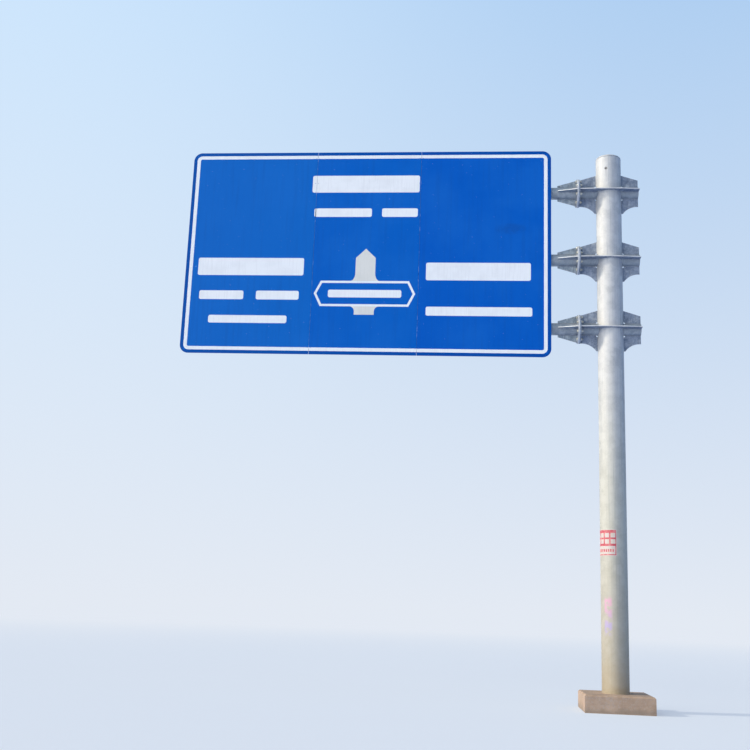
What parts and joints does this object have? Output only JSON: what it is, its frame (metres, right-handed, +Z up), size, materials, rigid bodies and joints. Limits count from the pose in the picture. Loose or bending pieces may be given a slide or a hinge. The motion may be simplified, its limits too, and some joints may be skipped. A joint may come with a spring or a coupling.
{
  "type": "cantilever sign gantry",
  "caption": "Single round steel post on a concrete foot, with stiffened cantilever arms that hold a wide blue road direction board over the carriageway.",
  "frame": {"origin": "centre of the base flange's underside, on the post's axis at ground level", "axes": "+Z up along the post; the arms and the board reach towards -X; the board faces -Y"},
  "size_m": [7.44, 1, 8.795],
  "materials": {
    "galvanised_steel": "hot-dip galvanised, dull, with faint spangle, streaks and pale weld seams",
    "bare_aluminium": "mill-finish extrusions and strip, slightly dulled by weather",
    "blue_sheeting": "flat sheet with blue retroreflective film, white border and white signs on the front",
    "concrete": "cast concrete, brownish grey, rough and stained"
  },
  "bodies": {
    "root": {"concrete_plinth": "concrete", "base_flange": "galvanised_steel", "post": "galvanised_steel", "post_cap": "galvanised_steel", "board_seam_strips": "bare_aluminium", "board_sheet_left": "blue_sheeting", "board_rails_left": "bare_aluminium", "board_sheet_centre": "blue_sheeting", "board_rails_centre": "bare_aluminium", "board_sheet_right": "blue_sheeting", "board_rails_right": "bare_aluminium", "arm_lower": "galvanised_steel", "wing_plates_lower": "galvanised_steel", "gussets_lower": "galvanised_steel", "arm_ribs_lower": "galvanised_steel", "clamp_hoops_lower": "galvanised_steel", "clamp_bars_lower": "galvanised_steel", "arm_middle": "galvanised_steel", "wing_plates_middle": "galvanised_steel", "gussets_middle": "galvanised_steel", "arm_ribs_middle": "galvanised_steel", "clamp_hoops_middle": "galvanised_steel", "clamp_bars_middle": "galvanised_steel", "arm_upper": "galvanised_steel", "wing_plates_upper": "galvanised_steel", "gussets_upper": "galvanised_steel", "arm_ribs_upper": "galvanised_steel", "clamp_hoops_upper": "galvanised_steel", "clamp_bars_upper": "galvanised_steel", "arm_flanges": "galvanised_steel", "stub_flanges": "galvanised_steel", "arm_stubs": "galvanised_steel"}
  },
  "joints": []
}
